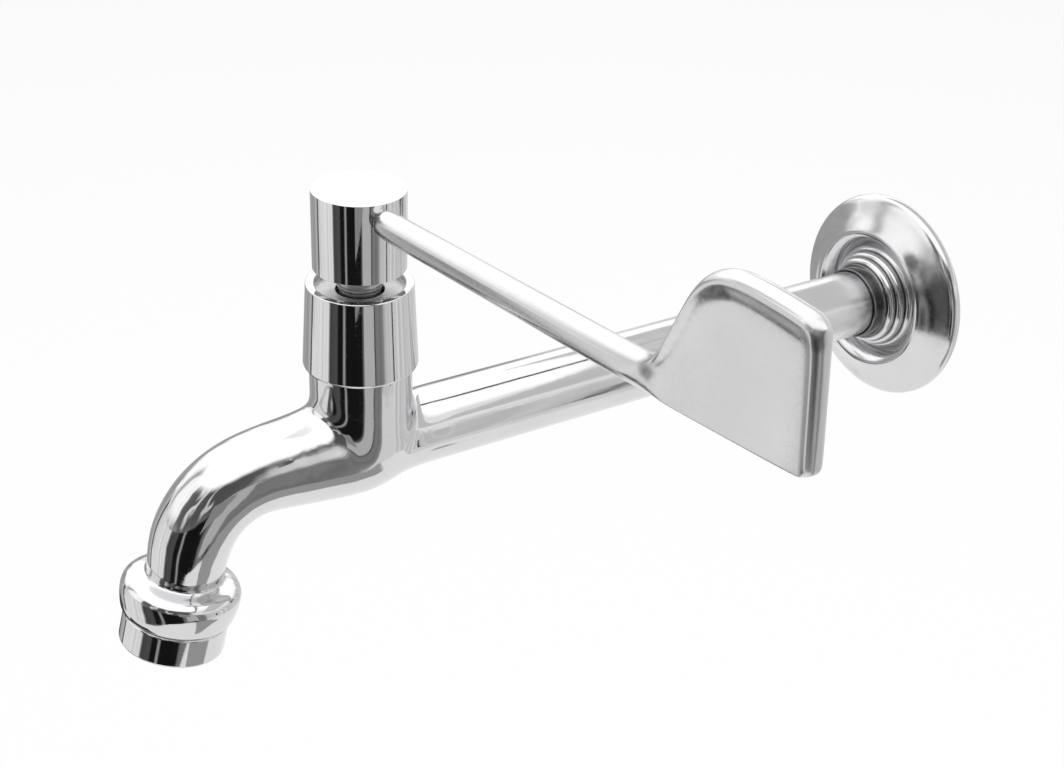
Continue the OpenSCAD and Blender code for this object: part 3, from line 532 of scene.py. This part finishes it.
shoulder = [bm.edges.get(pair) for pair in zip(loops[-1], loops[-1][1:] + loops[-1][:1])]
# Stations up the barrel and its spigot: height, radius
barrel_stations = [(shoulder_height, barrel_radius), (25.0, barrel_radius), (25.3, 13.95), (25.38, 13.2),
                   (25.5, 12.6), (29, 12.55)]
rings = [shoulder] + [cage_ring(bm, Matrix.Translation(Vector((0, -arm_reach, height)) * MM), radius)
                      for height, radius in barrel_stations]
join_rings(bm, rings)
bmesh.ops.contextual_create(bm, geom=rings[-1])
bmesh.ops.recalc_face_normals(bm, faces=bm.faces)
smoothed(piece("tap_casting", bm, chrome_cast, "tap", "chrome", "tap_body"), 3)


# Inlet thread. A half-inch pipe thread cut on the end of the arm and left as bare brass, since it is sealed
# with tape and hidden in the wall.
thread_pitch, thread_turns, thread_steps, thread_start = 1.814, 7, 40, 1
# Radius, distance along the arm from the middle of a turn
thread_profile = [(9.2, -0.9), (9.35, -0.86), (10.3, -0.2), (10.44, -0.07),
                  (10.44, 0.07), (10.3, 0.2), (9.35, 0.86), (9.2, 0.9)]


def turned_metal(name, dark, light, smooth, rough):
    """Bare turned metal: cloudy tarnish and the fine rings that the tool leaves round an upright axis."""
    finish = bpy.data.materials.new(name)
    finish.use_nodes = True
    tree = finish.node_tree
    shader = tree.nodes["Principled BSDF"]
    shader.inputs["Metallic"].default_value = 1.0
    tree.links.new(tinted(tree, noise(tree, 180, 4), dark, light), shader.inputs["Base Color"])
    tool_rings = noise(tree, 3000, 1, (0.02, 0.02, 1))
    tree.links.new(ranged(tree, tool_rings, 0.3, 0.7, smooth, rough), shader.inputs["Roughness"])
    bumped(tree, shader, tool_rings, 0.006)
    return finish


brass = turned_metal("turned_brass", (0.42, 0.29, 0.12), (0.62, 0.46, 0.22), 0.2, 0.38)
bm = bmesh.new()
corners = [bm.verts.new((radius * MM, (thread_start + offset) * MM, 0)) for radius, offset in thread_profile]
start_loop = [bm.edges.new(pair) for pair in zip(corners, corners[1:] + corners[:1])]
swept = bmesh.ops.spin(
    bm, geom=corners + start_loop, cent=(0, 0, 0), axis=(0, 1, 0),
    dvec=(0, thread_pitch * MM / thread_steps, 0),
    angle=2 * math.pi * thread_turns, steps=thread_turns * thread_steps)
end_loop = [item for item in swept["geom_last"] if isinstance(item, bmesh.types.BMEdge)]
for loop in (start_loop, end_loop):
    bmesh.ops.contextual_create(bm, geom=loop)
bmesh.ops.recalc_face_normals(bm, faces=bm.faces)
flanks = piece("inlet_thread", bm, brass, "tap", "brass").modifiers.new("flanks", "EDGE_SPLIT")
flanks.split_angle = math.radians(35)


# Wall flange. A stepped cover pressed from brass sheet and chromed: rolled rim, cone, crest, a dished valley
# and a collar of three beads that slides on the arm.
flange_steps = 40
bead_radius, groove_in, groove_up = 1.6, 0.45, 1.3
# Radius, height above the wall: from the rim's back over rim, cone and crest into the valley
flange_profile = [(32.0, 0.1), (34.0, 0.1), (34.8, 0.5), (34.85, 2.6), (33.8, 3.9), (31.4, 4.8), (27.5, 6.5),
                  (24.6, 8.4), (23.0, 9.4), (21.5, 8.9), (19.6, 6.4), (18.2, 4.6), (17.75, 4.0)]
for bead_r, bead_h in [(16.1, 4.8), (14.4, 7.5), (12.85, 10.1)]:
    for degrees, fullness in [(-20, 1.12), (30, 1.17), (80, 1.12)]:
        lean = math.radians(degrees)
        flange_profile.append((bead_r + fullness * bead_radius * math.cos(lean),
                               bead_h + fullness * bead_radius * math.sin(lean)))
    flange_profile.append((bead_r - groove_in, bead_h + groove_up))
# The collar's plain end, its bore, and back along the inside of the sheet
flange_profile += [(12.0, 12.2), (11.9, 16.0), (11.8, 16.3), (11.25, 16.3), (11.15, 16.0), (11.15, 2.6),
                   (11.3, 2.4), (17.2, 2.5), (18.6, 3.2), (22.0, 7.0), (23.2, 7.4), (24.4, 6.9), (28, 4.9),
                   (31.8, 3.0), (32.0, 2.6)]


def lathe(profile, steps, place, closed=True):
    """Spins a profile of (radius, height) about its Z axis and puts it in place."""
    bm = bmesh.new()
    corners = [bm.verts.new((radius * MM, 0, height * MM)) for radius, height in profile]
    pairs = list(zip(corners, corners[1:])) + ([(corners[-1], corners[0])] if closed else [])
    lines = [bm.edges.new(pair) for pair in pairs]
    bmesh.ops.spin(bm, geom=corners + lines, cent=(0, 0, 0), axis=(0, 0, 1), angle=2 * math.pi, steps=steps,
                   use_merge=True)
    bmesh.ops.remove_doubles(bm, verts=bm.verts, dist=0.001 * MM)
    bmesh.ops.recalc_face_normals(bm, faces=bm.faces)
    bmesh.ops.transform(bm, matrix=place, verts=bm.verts)
    return bm


def darkened(finish, shade):
    """Multiplies a finish's colour by a shade."""
    tree = finish.node_tree
    colour = tree.nodes["Principled BSDF"].inputs["Base Color"]
    scaled = tree.nodes.new("ShaderNodeVectorMath")
    scaled.operation = "SCALE"
    tree.links.new(colour.links[0].from_socket, scaled.inputs[0])
    tree.links.new(shade, scaled.inputs["Scale"])
    tree.links.new(scaled.outputs[0], colour)


chrome_pressed = chrome_plate("chrome_pressed", wave_depth=0.02, smooth=0.14, rough=0.2)
# Painted shade: the colour is darkened in the grooves between the beads and on the collar's plain end, standing
# in for the shade and dark reflections that fall there.
# The beads' crests lie on a cone, and the grooves well inside it
crest_cone, crest_slope, painted_shade_grey = 20.96, 0.62, 0.3
groove_floor, groove_lip = (crest_cone - 1.15) * MM, (crest_cone - 0.35) * MM
tree = chrome_pressed.node_tree
parts = axes_of(tree, in_piece(tree))
off_wall = calculated(tree, "MULTIPLY", parts["Y"], -1)
off_axis = calculated(tree, "SQRT", calculated(
    tree, "ADD", calculated(tree, "MULTIPLY", parts["X"], parts["X"]),
    calculated(tree, "MULTIPLY", parts["Z"], parts["Z"])))
outward = calculated(tree, "ADD", off_axis, calculated(tree, "MULTIPLY", off_wall, crest_slope))
groove_shade_mask = ranged(tree, outward, groove_floor, groove_lip, painted_shade_grey, 1)
behind_beads = ranged(tree, off_wall, 4.0 * MM, 5.0 * MM, 1, 0)
plain_end_shade_mask = ranged(tree, off_wall, 12.0 * MM, 13.2 * MM, 1, painted_shade_grey)
darkened(chrome_pressed, calculated(tree, "MINIMUM", plain_end_shade_mask, calculated(
    tree, "MAXIMUM", groove_shade_mask, behind_beads)))
on_wall = Matrix.Rotation(math.pi / 2, 4, "X")
flange_cage = [(radius / cage_shrink(flange_steps), height) for radius, height in flange_profile]
smoothed(piece("cover_flange", lathe(flange_cage, flange_steps, on_wall), chrome_pressed, "tap", "chrome",
               "wall_flange"), 2)


# Grip ring. A moulded ring of black rubber in a groove inside the flange's collar.
# It grips the arm, so that the flange stays where it is pushed.
def wear(finish, *nodes):
    """Gives CAD nodes that keep their shape a finish."""
    for node in nodes:
        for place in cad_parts[node].material_slots:
            place.material = finish


def moulded(name, dark, light, rough, grain_depth):
    """A moulded or fired piece: slightly uneven colour and a fine grain."""
    finish = bpy.data.materials.new(name)
    finish.use_nodes = True
    tree = finish.node_tree
    shader = tree.nodes["Principled BSDF"]
    tree.links.new(tinted(tree, noise(tree, 250, 3), dark, light), shader.inputs["Base Color"])
    grain, uneven = noise(tree, 2400, 3), 0.08
    tree.links.new(ranged(tree, grain, 0.3, 0.7, rough - uneven, rough + uneven), shader.inputs["Roughness"])
    bumped(tree, shader, grain, grain_depth)
    return finish


rubber = moulded("black_rubber", (0.012, 0.012, 0.012), (0.035, 0.034, 0.033), 0.62, 0.02)
wear(rubber, "flange_grip_ring")


# Valve. In the barrel stand a rubber seat seal with a steel ring in it, two lapped ceramic discs, a slip washer
# and the spindle with its sealing rings, all held by the headwork on a flat gasket. Spindle and headwork are
# brass, turned and nickel-plated.
ceramic = moulded("lapped_ceramic", (0.80, 0.78, 0.72), (0.90, 0.89, 0.84), 0.2, 0.001)
steel = turned_metal("plain_steel", (0.40, 0.40, 0.41), (0.56, 0.56, 0.57), 0.18, 0.32)
white_plastic = moulded("white_plastic", (0.78, 0.78, 0.75), (0.88, 0.88, 0.86), 0.4, 0.008)
nickel = turned_metal("nickel_plate", (0.42, 0.42, 0.41), (0.56, 0.56, 0.55), 0.3, 0.42)
wear(rubber, "seat_seal", "spindle_o_rings", "headwork_gasket")
wear(steel, "seat_seal_ring")
wear(ceramic, "fixed_disc", "moving_disc")
wear(white_plastic, "slip_washer")
wear(nickel, "spindle", "headwork_body")


# Bonnet. A turned and chromed brass cover that screws on the barrel's spigot: narrow foot, wide ring, slow taper
# and a shallow recess in its top with a hole for the gland.
turned_steps = 96
recess_floor, recess_radius = 47.7, 12.1
on_barrel = Matrix.Translation(barrel_axis)
# Radius, height: from the foot up the outside, into the recess and down through the hole to the cavity
bonnet_profile = [(12.75, 25.42), (15.1, 25.42), (15.7, 26.1), (14.44, 49.7), (recess_radius, 49.7),
                  (recess_radius, recess_floor), (6.5, recess_floor), (6.5, 45.7), (12.75, 45.7)]


def turned(made, rounding):
    """Breaks a turned piece's edges and keeps its flat faces flat."""
    edges = made.modifiers.new("broken_edges", "BEVEL")
    edges.width = rounding * MM
    edges.segments = 3
    edges.limit_method = "ANGLE"
    edges.angle_limit = math.radians(18)
    shading = made.modifiers.new("flat_faces", "WEIGHTED_NORMAL")
    shading.keep_sharp = True


def distance_from(finish, place):
    """How far a point of a piece is from a place in millimetres."""
    tree = finish.node_tree
    away = tree.nodes.new("ShaderNodeVectorMath")
    away.operation = "DISTANCE"
    tree.links.new(in_piece(tree), away.inputs[0])
    away.inputs[1].default_value = Vector(place) * MM
    return away.outputs["Value"]


chrome_bonnet = chrome_plate("chrome_bonnet", wave_depth=0.02, smooth=0.03, rough=0.09)
# The recess in the bonnet's top is plated as it was turned
from_recess = distance_from(chrome_bonnet, (0, -arm_reach, recess_floor))
dulled(chrome_bonnet, ranged(chrome_bonnet.node_tree, from_recess, 12.2 * MM, 13.2 * MM, 0.4, 0.0))
turned(piece("bonnet_cover", lathe(bonnet_profile, turned_steps, on_barrel), chrome_bonnet, "tap", "chrome",
             "bonnet"), rounding=0.35)


# Circlip. A clip stamped from spring steel and snapped into a groove of the spindle.
# It rests on the gland and keeps the spindle up.
wear(steel, "circlip")


# Hub. A plain chromed brass drum, splined inside, that the lever is screwed into.
# The hole for its set screw is drilled at the back.
hub_profile = [(0, 55.3), (6.5, 55.3), (6.5, 54.3), (12.5, 54.3), (12.5, 76.2), (0, 76.2)]
screw_hole_radius, screw_hole_depth, screw_hole_middle = 2.55, 12, (-10, 0, 59.8)


def drilled(made, place, radius, depth):
    """Cuts a round hole into a piece for good."""
    bm = bmesh.new()
    bmesh.ops.create_cone(bm, cap_ends=True, segments=48, radius1=radius * MM, radius2=radius * MM,
                          depth=depth * MM, matrix=place)
    drill = put_in_scene("drill", meshed("drill", bm))
    hole = made.modifiers.new("hole", "BOOLEAN")
    hole.object = drill
    hole.solver = "EXACT"
    bpy.context.view_layer.update()
    cutter, solid = drill.data, made.data
    made.data = bpy.data.meshes.new_from_object(made.evaluated_get(bpy.context.evaluated_depsgraph_get()))
    made.modifiers.remove(hole)
    bpy.data.objects.remove(drill)
    bpy.data.meshes.remove(solid)
    bpy.data.meshes.remove(cutter)
    made.data.name = made.name
    return made


chrome_turned = chrome_plate("chrome_turned", wave_depth=0.02, smooth=0.03, rough=0.09)
lever_hub = piece("lever_hub", lathe(hub_profile, turned_steps, on_barrel, closed=False), chrome_turned,
                  "handle", "chrome", "hub")
screw_hole = (on_barrel @ Matrix.Translation(Vector(screw_hole_middle) * MM)
              @ Matrix.Rotation(math.pi / 2, 4, "Y"))
turned(drilled(lever_hub, screw_hole, screw_hole_radius, screw_hole_depth), rounding=0.4)


# Set screw. A headless steel screw with a hexagon socket, sunk in the back of the hub.
# It presses on the spindle, so that the hub can't be pulled off.
wear(steel, "hub_set_screw")


# Lever. A forged brass rod that flattens into an upright paddle for the elbow, polished and chromed.
# The paddle has a flat panel on both sides, sunk behind a rounded rim at its top and end.
rod_height, rod_rise = 70.3, math.radians(5.8)
lever_place = (Matrix.Translation(Vector((0, -arm_reach, rod_height)) * MM)
               @ Matrix.Rotation(-rod_rise, 4, "Y"))
lever_sides = 16


def across_lever(out):
    """Place across the rod at a distance from the hub's axis, its local Y pointing up."""
    return (lever_place @ Matrix.Translation((out * MM, 0, 0))
            @ Matrix(((0, 0, 1, 0), (1, 0, 0, 0), (0, 1, 0, 0), (0, 0, 0, 1))))


def paddle_ring(bm, foot, top, lower, upper, halves):
    """A ring across the lever from a foot point to a top point (out, up): steps up from the foot, steps down
    from the top, and half its width at each of them from the foot up."""
    foot, top = Vector(foot), Vector(top)
    length = (top - foot).length
    heights = [0, *lower, *[length - step for step in reversed(upper)], length]
    near, far = [], []
    for height, half in zip(heights, [0, *halves, 0]):
        out, up = foot + (top - foot) * height / length
        near.append(lever_place @ (Vector((out, -half, up)) * MM))
        far.append(lever_place @ (Vector((out, half, up)) * MM))
    loop = [bm.verts.new(co) for co in near + far[-2:0:-1]]
    return [bm.edges.new(pair) for pair in zip(loop, loop[1:] + loop[:1])]


bm = bmesh.new()
# Stations along the rod: distance from the hub's axis, radius
rod_stations = [(4, 2.75), (13.2, 2.75), (13.7, 3.1), (14.6, 3.55), (16, 3.75), (30, 3.75), (60, 3.75),
                (100, 3.75), (114, 3.75)]
rings = [cage_ring(bm, across_lever(out), radius, lever_sides) for out, radius in rod_stations]
# At the root the rod's round section steps in to the panel's
root_stations = [
    ((120.0, -3.85), (121.5, 3.9), (0.3, 1.1, 2.35), (0.3, 1.1, 2.35, 3.9),
     (1.45, 2.65, 3.45, 3.7, 3.45, 2.65, 1.5)),
    ((123.6, -4.0), (126.0, 4.6), (0.4, 1.3, 2.6), (0.4, 1.4, 2.8, 4.4),
     (1.45, 2.3, 2.9, 3.1, 3.1, 2.6, 1.6)),
    ((126.6, -4.1), (129.2, 6.9), (0.4, 1.4, 3.0), (0.9, 2.2, 3.4, 5.8),
     (1.2, 1.55, 1.6, 1.65, 2.0, 2.5, 2.3)),
]
rings += [paddle_ring(bm, *station) for station in root_stations]
# Over the panel the steps and widths stay the same: a plain lower edge, a flat panel, a hollow and the rim
edge_steps, rim_steps = (0.03, 0.15, 3.2), (1.5, 3.2, 5.4, 8.6)
panel_halves = (1.1, 1.2, 1.2, 1.2, 1.75, 2.6, 2.9)
panel_stations = [
    ((130.2, -4.1), (132.2, 11.3)), ((135.6, -4.05), (135.9, 17.7)), ((141, -3.95), (139.3, 23.7)),
    ((146, -3.85), (142.9, 27.5)), ((151, -3.75), (148, 29.9)), ((156, -3.65), (154.5, 30.15)),
    ((163, -3.5), (162.5, 29.45)), ((168.2, -3.3), (168.1, 28.75)), ((169.9, -3.15), (169.9, 28.35))]
rings += [paddle_ring(bm, foot, top, edge_steps, rim_steps, panel_halves) for foot, top in panel_stations]
# At the end the whole height swells into the rim and rounds off: foot, top, half widths
end_steps = (0.35, 1.1, 3.2)
end_stations = [
    ((170.8, -2.86), (170.9, 27.93), (1.2, 1.6, 1.7, 1.7, 2.0, 2.5, 2.6)),
    ((171.5, -2.55), (171.6, 27.55), (1.35, 1.9, 2.1, 2.1, 2.25, 2.5, 2.4)),
    ((172.2, -2.1), (172.3, 27.07), (1.25, 1.75, 1.95, 1.95, 2.0, 2.1, 1.95)),
    ((172.9, -1.5), (173.0, 26.5), (0.95, 1.3, 1.4, 1.4, 1.4, 1.4, 1.3)),
    ((173.25, -0.7), (173.35, 26.0), (0.5, 0.65, 0.7, 0.7, 0.7, 0.7, 0.6)),
]
rings += [paddle_ring(bm, foot, top, end_steps, rim_steps, halves) for foot, top, halves in end_stations]
join_rings(bm, rings)
for end in (rings[0], rings[-1]):
    bmesh.ops.contextual_create(bm, geom=end)
bmesh.ops.recalc_face_normals(bm, faces=bm.faces)
chrome_forged = chrome_plate("chrome_forged", wave_depth=0.02, smooth=0.18, rough=0.24)
# The paddle's end is rubbed dull by elbows
dulled(chrome_forged, along(chrome_forged, "X", 163, 169, 0.0, 0.12))
# Painted shade: the colour is darkened at the paddle's root and in its upper corners, where shade falls: middle,
# radius
corner_shade_core, corner_painted_shade = 0.2, 0.45
for middle, radius in [((125.6, -203.4, 85.2), 2.8), ((145.5, -202.8, 110.3), 2.2),
                       ((170.1, -203.6, 111.0), 2.4)]:
    from_middle = distance_from(chrome_forged, middle)
    darkened(chrome_forged, ranged(chrome_forged.node_tree, from_middle, corner_shade_core * radius * MM, radius * MM,
                                   corner_painted_shade, 1))
smoothed(piece("elbow_lever", bm, chrome_forged, "handle", "chrome", "lever"), 3)


# Aerator. A plastic insert with a honeycomb outlet holds a wire screen, a jet plate and a strainer, and a rubber
# washer lies above it.
wear(white_plastic, "aerator_insert", "aerator_jet_plate")
wear(steel, "aerator_screen", "aerator_strainer")
wear(rubber, "aerator_washer")


# Aerator casing. A thin brass ring, turned and chromed, that screws up into the spout's collar
# and holds the aerator in it.
casing_profile = [(10.5, -1.7), (12.0, -1.7), (12.0, 5.85), (14.1, 5.85), (14.4, 6.3), (14.4, 14.2),
                  (14.0, 14.75), (9.7, 14.75), (9.7, 14.0), (10.5, 14.0)]
turned(piece("aerator_ring", lathe(casing_profile, turned_steps, on_outlet(0)), chrome_turned, "tap", "chrome",
             "aerator_casing"), rounding=0.2)

bpy.context.view_layer.update()
